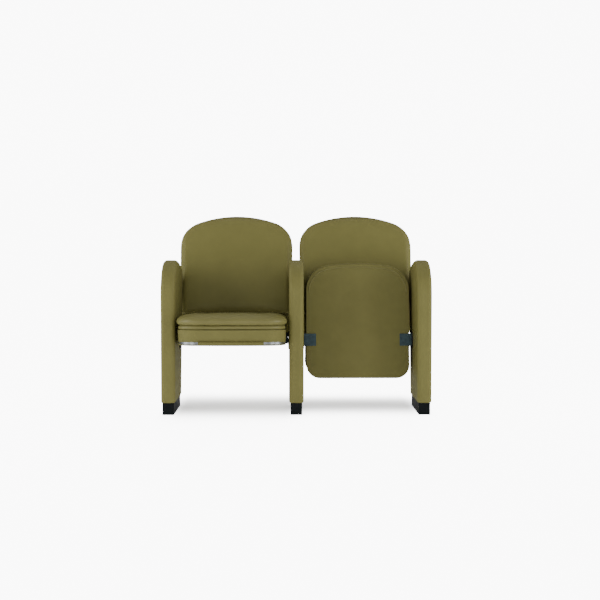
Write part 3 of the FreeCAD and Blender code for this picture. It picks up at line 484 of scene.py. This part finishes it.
def clear_selection() -> None:
    """Leave edit mode and deselect everything."""
    if bpy.context.mode != "OBJECT":
        bpy.ops.object.mode_set(mode="OBJECT")
    bpy.ops.object.select_all(action="DESELECT")


def pick(target: bpy.types.Object) -> None:
    """Make an object the only selected one and the active one."""
    clear_selection()
    target.select_set(True)
    bpy.context.view_layer.objects.active = target


@contextmanager
def editing(target: bpy.types.Object) -> Iterator[None]:
    """Keep an object in edit mode for the length of a with block."""
    pick(target)
    bpy.ops.object.mode_set(mode="EDIT")
    yield
    bpy.ops.object.mode_set(mode="OBJECT")


def select_faces(target: bpy.types.Object, wanted: Callable[[bmesh.types.BMFace], bool]) -> None:
    """Select the faces of the edited mesh that a test accepts, and nothing else."""
    bpy.ops.mesh.select_mode(type="FACE")
    bpy.ops.mesh.select_all(action="DESELECT")
    shape = bmesh.from_edit_mesh(target.data)
    for face in shape.faces:
        face.select_set(wanted(face))
    shape.select_flush_mode()
    bmesh.update_edit_mesh(target.data)


def select_edges(target: bpy.types.Object, wanted: Callable[[bmesh.types.BMEdge], bool]) -> None:
    """Select the edges of the edited mesh that a test accepts, and nothing else."""
    bpy.ops.mesh.select_mode(type="EDGE")
    bpy.ops.mesh.select_all(action="DESELECT")
    shape = bmesh.from_edit_mesh(target.data)
    for edge in shape.edges:
        edge.select_set(wanted(edge))
    shape.select_flush_mode()
    bmesh.update_edit_mesh(target.data)


def apply_modifiers(target: bpy.types.Object) -> None:
    """Apply every modifier of an object, in order."""
    pick(target)
    for modifier in list(target.modifiers):
        bpy.ops.object.modifier_apply(modifier=modifier.name)


def settle_transform(target: bpy.types.Object) -> None:
    """Put an object's place into its mesh, so that the object sits at the origin."""
    pick(target)
    bpy.ops.object.transform_apply(location=True, rotation=True, scale=True)


def copy_of(target: bpy.types.Object, name: str, move: Matrix) -> bpy.types.Object:
    """Copy a finished piece with a mesh of its own.

    Args:
        target: The piece to copy.
        name: Name of the copy.
        move: Where the copy goes, from where the piece is.

    Returns:
        The copy, with its place in its mesh.
    """
    twin = target.copy()
    twin.data = target.data.copy()
    twin.name = name
    bpy.context.scene.collection.objects.link(twin)
    twin.data.transform(move)
    return twin


@dataclass
class Standard:
    """One standard of the row: a padded leather cover over the steel frame, on a black plinth."""

    word: str
    pivots: tuple[str, ...]
    arm_front_radius: float = 155 * MM
    crown_radius: float = 600 * MM
    rear_corner_radius: float = 45 * MM
    rear_rake: float = math.radians(9.5)
    rear_foot: float = 155 * MM
    edge_roll: float = 17 * MM
    foot_curl: float = 7 * MM
    arc_steps: int = 22
    corner_steps: int = 12
    roll_steps: int = 8
    curl_steps: int = 5
    side_area: float = 0.02
    side_facing: float = 0.999
    side_fill: tuple[tuple[float, float], ...] = ((7 * MM, 0.6 * MM), (15 * MM, 0.6 * MM))

    def build(self, finishes: Finishes) -> None:
        """Model the cover and dress everything that the standard carries."""
        cover = self.model_cover()
        finishes.dress(cover, "leather")
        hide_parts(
            f"{self.word}_standard_left_panel",
            f"{self.word}_standard_right_panel",
            f"{self.word}_edge_band",
        )
        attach(cover, "standards_and_backs")
        finishes.dress_nodes("black_steel", f"{self.word}_standard_frame")
        finishes.dress_nodes("plinth", f"{self.word}_plinth")
        for pivot in self.pivots:
            base = f"{self.word}_standard_{pivot}"
            finishes.dress_nodes("black_steel", f"{base}_pivot_plate")
            finishes.dress_nodes("bright_steel", f"{base}_pivot_pin")
            finishes.dress_nodes("rubber", f"{base}_stop_buffers")
        log.info("%s standard: cover of %d faces", self.word, len(cover.data.polygons))

    def model_cover(self) -> bpy.types.Object:
        """Draw the side outline, pull it across the standard and roll its edges.

        Returns:
            The cover, closed all round.
        """
        low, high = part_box(f"{self.word}_standard_left_panel")
        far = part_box(f"{self.word}_standard_right_panel")[1]
        foot, top, front = low.z, high.z, low.y
        width = far.x - low.x
        shoulder = Vector((low.x, front + self.arm_front_radius, top - self.arm_front_radius))
        crown = Vector((low.x, shoulder.y, top - self.crown_radius))
        corner = self.rear_corner_centre(crown, foot)
        towards_corner = corner - crown
        crown_sweep = math.atan2(towards_corner.y, towards_corner.z)
        corner_sweep = math.pi / 2 + self.rear_rake - crown_sweep

        clear_selection()
        bpy.ops.mesh.primitive_plane_add(size=1 * MM, location=(low.x, front, foot))
        cover = bpy.context.object
        cover.name = f"{self.word}_standard_cover"
        settle_transform(cover)
        with editing(cover):
            bpy.ops.mesh.select_mode(type="VERT")
            bpy.ops.mesh.select_all(action="SELECT")
            bpy.ops.mesh.merge(type="CENTER")
            self.draw_on((0, 0, shoulder.z - foot))
            self.turn_on(shoulder, math.pi / 2, self.arc_steps)
            self.turn_on(crown, crown_sweep, self.corner_steps)
            self.turn_on(corner, corner_sweep, self.corner_steps)
            outward = Vector((0, math.cos(self.rear_rake), -math.sin(self.rear_rake)))
            heel = Vector((low.x, self.rear_foot, foot))
            self.draw_on(heel - (corner + outward * self.rear_corner_radius))
            bpy.ops.mesh.select_all(action="SELECT")
            bpy.ops.mesh.remove_doubles(threshold=SAME_PLACE)
            bpy.ops.mesh.edge_face_add()
            bpy.ops.mesh.extrude_region_move(TRANSFORM_OT_translate={"value": (width, 0, 0)})
            bpy.ops.mesh.select_all(action="SELECT")
            bpy.ops.mesh.normals_make_consistent(inside=False)
            self.roll_edges(cover, foot)
            self.fill_sides(cover)
        bpy.ops.object.shade_smooth()
        cover.modifiers.new("flat_sides", "WEIGHTED_NORMAL").keep_sharp = False
        apply_modifiers(cover)
        return cover

    def rear_corner_centre(self, crown: Vector, foot: float) -> Vector:
        """Centre of the rear corner, which touches both the crown and the raked rear edge."""
        outward = Vector((0, math.cos(self.rear_rake), -math.sin(self.rear_rake)))
        upward = Vector((0, math.sin(self.rear_rake), math.cos(self.rear_rake)))
        start = Vector((crown.x, self.rear_foot, foot)) - outward * self.rear_corner_radius - crown
        reach = self.crown_radius - self.rear_corner_radius
        lead = start.dot(upward)
        slide = math.sqrt(lead * lead - start.length_squared + reach * reach) - lead
        return crown + start + upward * slide

    def draw_on(self, step: Vector | tuple[float, float, float]) -> None:
        """Pull the end of the outline straight on."""
        bpy.ops.mesh.extrude_vertices_move(TRANSFORM_OT_translate={"value": tuple(step)})

    def turn_on(self, centre: Vector, sweep: float, steps: int) -> None:
        """Carry the end of the outline on round a centre, from front to back."""
        bpy.ops.mesh.spin(steps=steps, angle=sweep, center=tuple(centre), axis=(1, 0, 0))

    def roll_edges(self, cover: bpy.types.Object, foot: float) -> None:
        """Round both rims from foot to foot, then curl the leather in under the foot."""
        near_foot = foot + 0.1 * MM

        def on_rim(edge: bmesh.types.BMEdge) -> bool:
            """True for an edge of the outline of either side, above the foot."""
            level = abs(edge.verts[0].co.x - edge.verts[1].co.x) < SAME_PLACE
            return level and max(end.co.z for end in edge.verts) > near_foot

        select_edges(cover, on_rim)
        bpy.ops.mesh.bevel(
            offset=self.edge_roll, offset_type="OFFSET", segments=self.roll_steps, profile=0.5, affect="EDGES"
        )

        def round_the_foot(edge: bmesh.types.BMEdge) -> bool:
            """True for an edge on the rim of the underside, at the foot."""
            at_foot = max(end.co.z for end in edge.verts) < near_foot
            return at_foot and any(face.normal.z > -0.5 for face in edge.link_faces)

        select_edges(cover, round_the_foot)
        bpy.ops.mesh.bevel(
            offset=self.foot_curl,
            offset_type="OFFSET",
            segments=self.curl_steps,
            profile=0.5,
            affect="EDGES",
        )

    def on_side(self, face: bmesh.types.BMFace) -> bool:
        """True for the flat middle of either side."""
        return abs(face.normal.x) > self.side_facing and face.calc_area() > self.side_area

    def fill_sides(self, cover: bpy.types.Object) -> None:
        """Raise the middle of both sides a little, as foam under leather does."""
        for thickness, depth in self.side_fill:
            select_faces(cover, self.on_side)
            bpy.ops.mesh.inset(thickness=thickness, depth=depth, use_individual=True)


@dataclass(frozen=True)
class Stuffing:
    """How a padded piece is blown up over its foam."""

    cap: float
    start_scale: tuple[float, float, float]
    voxel: float = 5.5 * MM
    pressure: float = 4.0
    frames: int = 20
    quality: int = 5
    soften_factor: float = 0.5
    soften_rounds: int = 4
    settle_rounds: int = 3


class SoftPiece:
    """A padded piece that starts from the carried solid and is puffed up by Blender's cloth."""

    def __init__(self, node: str, name: str, stuffing: Stuffing) -> None:
        """Keep what the piece is made from.

        Args:
            node: The node of the part that it stands for.
            name: Name of the new piece.
            stuffing: How it is blown up.
        """
        self.node = node
        self.name = name
        self.stuffing = stuffing

    def make(self) -> bpy.types.Object:
        """Copy, remesh and puff up the solid.

        Returns:
            The finished piece, with no modifier left on it.
        """
        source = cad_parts[self.node]
        piece = bpy.data.objects.new(self.name, source.data.copy())
        piece.data.materials.clear()
        bpy.context.scene.collection.objects.link(piece)
        low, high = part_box(self.node)
        middle = (low + high) / 2
        with editing(piece):
            bpy.ops.mesh.select_all(action="SELECT")
            bpy.ops.mesh.remove_doubles(threshold=WELD)
        shrink = Matrix.Translation(middle) @ Matrix.Diagonal((*self.stuffing.start_scale, 1.0))
        piece.data.transform(shrink @ Matrix.Translation(-middle))
        remesh = piece.modifiers.new("even_mesh", "REMESH")
        remesh.mode = "VOXEL"
        remesh.voxel_size = self.stuffing.voxel
        smooth = piece.modifiers.new("soften", "SMOOTH")
        smooth.factor = self.stuffing.soften_factor
        smooth.iterations = self.stuffing.soften_rounds
        apply_modifiers(piece)
        self.puff(piece)
        fine = piece.modifiers.new("fine", "SUBSURF")
        fine.levels = fine.render_levels = 1
        apply_modifiers(piece)
        bpy.ops.object.shade_smooth()
        return piece

    def puff(self, piece: bpy.types.Object) -> None:
        """Blow the piece up as a closed cloth bag, then hold every point within the cap."""
        at_rest = [point.co.copy() for point in piece.data.vertices]
        cloth = piece.modifiers.new("cloth", "CLOTH")
        cloth.settings.use_pressure = True
        cloth.settings.uniform_pressure_force = self.stuffing.pressure
        cloth.settings.quality = self.stuffing.quality
        cloth.settings.effector_weights.gravity = 0.0
        cloth.collision_settings.use_self_collision = False
        scene = bpy.context.scene
        for number in range(1, self.stuffing.frames + 1):
            scene.frame_set(number)
        apply_modifiers(piece)
        scene.frame_set(1)
        for point, start in zip(piece.data.vertices, at_rest):
            moved = point.co - start
            if moved.length > self.stuffing.cap:
                point.co = start + moved.normalized() * self.stuffing.cap
        piece.modifiers.new("settle", "SMOOTH").iterations = self.stuffing.settle_rounds
        apply_modifiers(piece)


@dataclass
class Seat:
    """A tip up seat: cushion and roll in a leather clad tray, an underside panel and hinge shoes."""

    place: Place
    pivot_back: float = 70 * MM
    pivot_height: float = 305 * MM
    tip_angle: float = math.radians(95)
    bead_inset: float = 11 * MM
    bead_radius: float = 2.6 * MM
    bead_steps: int = 3
    facing_down: float = -0.99

    @property
    def body(self) -> str:
        """The body that the seat rides on."""
        return f"{self.place.value}_seat"

    def raised(self, move: Matrix) -> Matrix:
        """The move from the lowered seat of the left place to the raised seat of the right place."""
        pivot = Matrix.Translation((0, self.pivot_back, self.pivot_height))
        return move @ pivot @ Matrix.Rotation(-self.tip_angle, 4, "X") @ pivot.inverted()

    def dress(self, finishes: Finishes) -> None:
        """Give every carried node of the seat its finish."""
        word = self.body
        finishes.dress_nodes("clad", f"{word}_tray")
        finishes.dress_nodes("underside", f"{word}_underside_panel")
        finishes.dress_nodes("bright_steel", f"{word}_strap_frame")
        finishes.dress_nodes("slate", f"{word}_left_hinge_shoe", f"{word}_right_hinge_shoe")
        finishes.dress_nodes("nylon", f"{word}_bushes")
        finishes.dress_nodes("slate", f"{word}_shoe_screws")
        log.info("%s: carried nodes dressed", word)

    def add_soft(self, piece: bpy.types.Object, node: str, fill: float, finishes: Finishes) -> None:
        """Dress a padded piece of the seat, hide the solid that it stands for and hang it on the seat's body.
        """
        finishes.dress(piece, "cushion_leather")
        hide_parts(f"{self.body}_{node}")
        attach(piece, self.body)
        log.info("%s: %d faces", piece.name, len(piece.data.polygons))

    def model_bead(self) -> bpy.types.Object:
        """The sewn bead under the lowered seat, a little inside the edge of the underside panel.

        Returns:
            A tube that runs from one hinge shoe round the front to the other.
        """
        node = f"{self.body}_underside_panel"
        low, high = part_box(node)
        shoe_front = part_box(f"{self.body}_left_hinge_shoe")[0].y
        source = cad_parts[node]
        bead = bpy.data.objects.new(f"{self.place.value}_underside_bead", source.data.copy())
        bead.data.materials.clear()
        bpy.context.scene.collection.objects.link(bead)
        with editing(bead):
            bpy.ops.mesh.select_all(action="SELECT")
            bpy.ops.mesh.remove_doubles(threshold=WELD)
            select_faces(bead, lambda face: face.normal.z > self.facing_down)
            bpy.ops.mesh.delete(type="FACE")
            select_edges(bead, lambda edge: not self.on_front_rim(edge, shoe_front))
            bpy.ops.mesh.delete(type="EDGE")
        inset = Matrix.Diagonal((1 - 2 * self.bead_inset / (high.x - low.x), 1.0, 1.0, 1.0))
        centre = Matrix.Translation(((low.x + high.x) / 2, self.bead_inset, 0))
        bead.data.transform(centre @ inset @ Matrix.Translation((-(low.x + high.x) / 2, 0, 0)))
        pick(bead)
        bpy.ops.object.convert(target="CURVE")
        bead.data.bevel_depth = self.bead_radius
        bead.data.bevel_resolution = self.bead_steps
        bead.data.use_fill_caps = True
        bpy.ops.object.convert(target="MESH")
        bpy.ops.object.shade_smooth()
        return bead

    def on_front_rim(self, edge: bmesh.types.BMEdge, rear: float) -> bool:
        """True for an edge that only one face is left on, if it lies in front of a depth."""
        return len(edge.link_faces) == 1 and max(end.co.y for end in edge.verts) < rear

    def add_bead(self, bead: bpy.types.Object, finishes: Finishes) -> None:
        finishes.dress(bead, "cushion_leather")
        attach(bead, self.body)
        log.info("%s: %d faces", bead.name, len(bead.data.polygons))


@dataclass
class Back:
    """A back: padded leather in front of a clad shell, with a leather rear panel on brackets."""

    place: Place

    def dress(self, finishes: Finishes) -> None:
        """Give every carried node of the back its finish."""
        word = f"{self.place.value}_back"
        finishes.dress_nodes("clad", f"{word}_shell")
        finishes.dress_nodes("underside", f"{word}_rear_panel")
        finishes.dress_nodes("black_steel", f"{word}_left_bracket", f"{word}_right_bracket")
        finishes.dress_nodes("bright_steel", f"{word}_bolts")
        log.info("%s: carried nodes dressed", word)

    def add_pad(self, pad: bpy.types.Object, finishes: Finishes) -> None:
        finishes.dress(pad, "soft_leather")
        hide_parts(f"{self.place.value}_back_pad")
        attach(pad, "standards_and_backs")
        log.info("%s: %d faces", pad.name, len(pad.data.polygons))


@dataclass(frozen=True)
class SoftLight:
    """A rectangular area light."""

    name: str
    place: tuple[float, float, float]
    target: tuple[float, float, float]
    size: tuple[float, float]
    power: float

    def hang(self) -> None:
        """Put the light in the scene, turned to its target."""
        light = bpy.data.lights.new(self.name, "AREA")
        light.shape = "RECTANGLE"
        light.size, light.size_y = self.size
        light.energy = self.power
        holder = bpy.data.objects.new(self.name, light)
        bpy.context.scene.collection.objects.link(holder)
        holder.location = self.place
        holder.rotation_mode = "QUATERNION"
        towards = Vector(self.target) - Vector(self.place)
        holder.rotation_quaternion = towards.to_track_quat("-Z", "Y")


LIGHTS = (
    SoftLight("side_light_left", (-3.0, -0.7, 1.3), (-0.4, 0.0, 0.4), (1.2, 2.2), 34),
    SoftLight("side_light_right", (3.0, -0.7, 1.3), (0.4, 0.0, 0.4), (1.2, 2.2), 34),
    SoftLight("corner_light_left", (-2.6, -2.6, 0.9), (0.0, 0.0, 0.3), (0.8, 1.6), 14),
    SoftLight("corner_light_right", (2.6, -2.6, 0.9), (0.0, 0.0, 0.3), (0.8, 1.6), 14),
    SoftLight("front_fill", (0.0, -4.5, 1.3), (0.0, 0.0, 0.4), (3.0, 1.5), 27),
    SoftLight("overhead", (0.0, -0.5, 3.0), (0.0, 0.0, 0.3), (3.0, 1.6), 5),
)


@dataclass
class Studio:
    """A pale paper sweep, soft lights and the camera of the photograph."""

    camera_place: tuple[float, float, float] = (-0.030, -5.155, 0.756)
    camera_pitch: float = math.radians(2.98)
    camera_yaw: float = math.radians(0.52)
    focal_length: float = 70.2
    floor_front: float = -9.0
    floor_back: float = 3.2
    floor_half: float = 9.0
    wall_height: float = 7.0
    wall_bend: float = 1.6
    bend_steps: int = 16
    seam: float = 0.01
    sky_fill: float = 0.36
    sky_seen: float = 9.8

    def build(self) -> None:
        """Make the sweep, the lights, the sky and the camera."""
        self.make_sweep()
        self.make_lights()
        self.make_sky()
        self.make_camera()
        log.info("studio: sweep, lights and camera")

    def make_sweep(self) -> None:
        """A floor that bends up into a wall behind the row."""
        clear_selection()
        depth = self.floor_back - self.floor_front
        bpy.ops.mesh.primitive_plane_add(size=1, location=(0, (self.floor_back + self.floor_front) / 2, 0))
        sweep = bpy.context.object
        sweep.name = "paper_sweep"
        sweep.scale = (self.floor_half * 2, depth, 1)
        settle_transform(sweep)
        with editing(sweep):
            at_back = self.floor_back - self.seam
            select_edges(sweep, lambda edge: min(end.co.y for end in edge.verts) > at_back)
            bpy.ops.mesh.extrude_region_move(TRANSFORM_OT_translate={"value": (0, 0, self.wall_height)})
            select_edges(sweep, lambda edge: all(
                end.co.y > at_back and end.co.z < self.seam for end in edge.verts
            ))
            bpy.ops.mesh.bevel(
                offset=self.wall_bend, offset_type="OFFSET", segments=self.bend_steps, affect="EDGES"
            )
        bpy.ops.object.shade_smooth()
        sweep.data.materials.append(BackdropPaper("backdrop_paper", linear(232, 232, 232)).material())

    def make_lights(self) -> None:
        """Tall soft lights at both sides and at the front corners, one at the camera and one overhead."""
        for light in LIGHTS:
            light.hang()

    def make_sky(self) -> None:
        """An even surround that fills the shadows weakly and looks as white as the paper."""
        world = bpy.data.worlds.new("soft_surround")
        world.use_nodes = True
        nodes, links = world.node_tree.nodes, world.node_tree.links
        seen = nodes.new("ShaderNodeMapRange")
        links.new(nodes.new("ShaderNodeLightPath").outputs["Is Camera Ray"], seen.inputs["Value"])
        seen.inputs["To Min"].default_value = self.sky_fill
        seen.inputs["To Max"].default_value = self.sky_seen
        surround = nodes["Background"]
        surround.inputs["Color"].default_value = (1.0, 1.0, 1.0, 1.0)
        links.new(seen.outputs["Result"], surround.inputs["Strength"])
        bpy.context.scene.world = world

    def make_camera(self) -> None:
        """The camera, where the photograph was taken from."""
        lens = bpy.data.cameras.new("camera")
        lens.lens = self.focal_length
        lens.sensor_width = 36.0
        holder = bpy.data.objects.new("camera", lens)
        bpy.context.scene.collection.objects.link(holder)
        holder.location = self.camera_place
        holder.rotation_euler = (math.pi / 2 - self.camera_pitch, 0.0, -self.camera_yaw)
        bpy.context.scene.camera = holder


def build_seats_and_backs(finishes: Finishes) -> None:
    """Make the soft pieces once, for the left place, and copy them to the right place."""
    left, right = Seat(Place.LEFT), Seat(Place.RIGHT)
    across = Matrix.Translation(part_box("right_back_pad")[0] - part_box("left_back_pad")[0])
    recipes = (
        ("cushion", Stuffing(cap=5 * MM, start_scale=(1.012, 1.0, 0.95)), 0.7),
        ("roll", Stuffing(voxel=5 * MM, cap=3 * MM, start_scale=(0.995, 0.995, 1.0)), 0.8),
    )
    for node, stuffing, fill in recipes:
        piece = SoftPiece(f"left_seat_{node}", f"left_{node}_cover", stuffing).make()
        twin = copy_of(piece, f"right_{node}_cover", left.raised(across))
        left.add_soft(piece, node, fill, finishes)
        right.add_soft(twin, node, fill, finishes)
    bead = left.model_bead()
    twin = copy_of(bead, "right_underside_bead", left.raised(across))
    left.add_bead(bead, finishes)
    right.add_bead(twin, finishes)
    pad_stuffing = Stuffing(cap=5 * MM, start_scale=(1.026, 0.97, 0.985))
    pad = SoftPiece("left_back_pad", "left_back_cover", pad_stuffing).make()
    twin = copy_of(pad, "right_back_cover", across)
    Back(Place.LEFT).add_pad(pad, finishes)
    Back(Place.RIGHT).add_pad(twin, finishes)
    for place in Place:
        Seat(place).dress(finishes)
        Back(place).dress(finishes)


def main() -> None:
    """Build the row and the studio round it."""
    logging.basicConfig(level=logging.INFO, format="%(name)s: %(message)s")
    finishes = Finishes()
    standards = (
        Standard("left", ("right",)),
        Standard("middle", ("left", "right")),
        Standard("right", ("left",)),
    )
    for standard in standards:
        standard.build(finishes)
    build_seats_and_backs(finishes)
    Studio().build()


if __name__ == "__main__":
    main()
